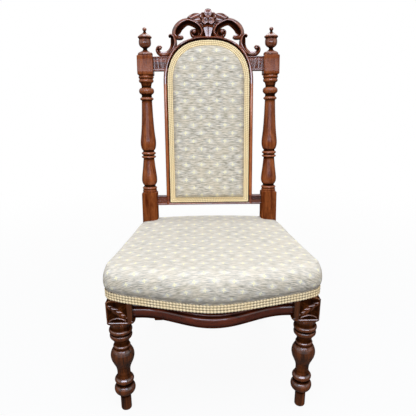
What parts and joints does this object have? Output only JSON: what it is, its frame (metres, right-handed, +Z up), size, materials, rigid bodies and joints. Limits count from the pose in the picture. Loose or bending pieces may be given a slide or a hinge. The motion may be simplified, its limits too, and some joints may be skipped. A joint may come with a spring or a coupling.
{
  "type": "upholstered side chair",
  "caption": "Carved wooden parlour side chair with a sprung, stuffed seat and an arched, upholstered back panel between turned posts.",
  "frame": {"origin": "on the floor under the middle of the chair's bounding box", "axes": "+Z up, the front of the chair faces -Y, +X is to the right of someone who looks at its front"},
  "size_m": [0.5172, 0.5132, 0.9913],
  "materials": {
    "frame_wood": "polished",
    "inner_wood": "raw",
    "cover_fabric": "woven",
    "braid": "woven",
    "jute": "woven",
    "hair": "matte",
    "spring_steel": "satin"
  },
  "bodies": {
    "root": {"front_leg_left": "frame_wood", "front_leg_right": "frame_wood", "rear_leg_left": "frame_wood", "rear_leg_right": "frame_wood", "finial_left": "frame_wood", "finial_right": "frame_wood", "front_rail": "frame_wood", "side_rail_left": "frame_wood", "side_rail_right": "frame_wood", "rear_rail": "frame_wood", "front_corner_block_left": "inner_wood", "front_corner_block_right": "inner_wood", "rear_corner_block_left": "inner_wood", "rear_corner_block_right": "inner_wood", "corner_block_screws": "spring_steel", "webbing_lengthwise": "jute", "webbing_crosswise": "jute", "webbing_tacks": "spring_steel", "seat_springs": "spring_steel", "spring_canvas": "jute", "seat_stuffing": "hair", "seat_cover": "cover_fabric", "seat_braid": "braid", "rear_seat_braid": "braid", "crest_rail": "frame_wood", "back_stile_left": "frame_wood", "back_stile_right": "frame_wood", "lower_back_rail": "frame_wood", "back_frame_dowels": "inner_wood", "back_canvas": "jute", "back_stuffing": "hair", "back_cover": "cover_fabric", "back_braid": "braid", "outside_back_cover": "cover_fabric", "outside_back_braid": "braid"}
  },
  "joints": []
}
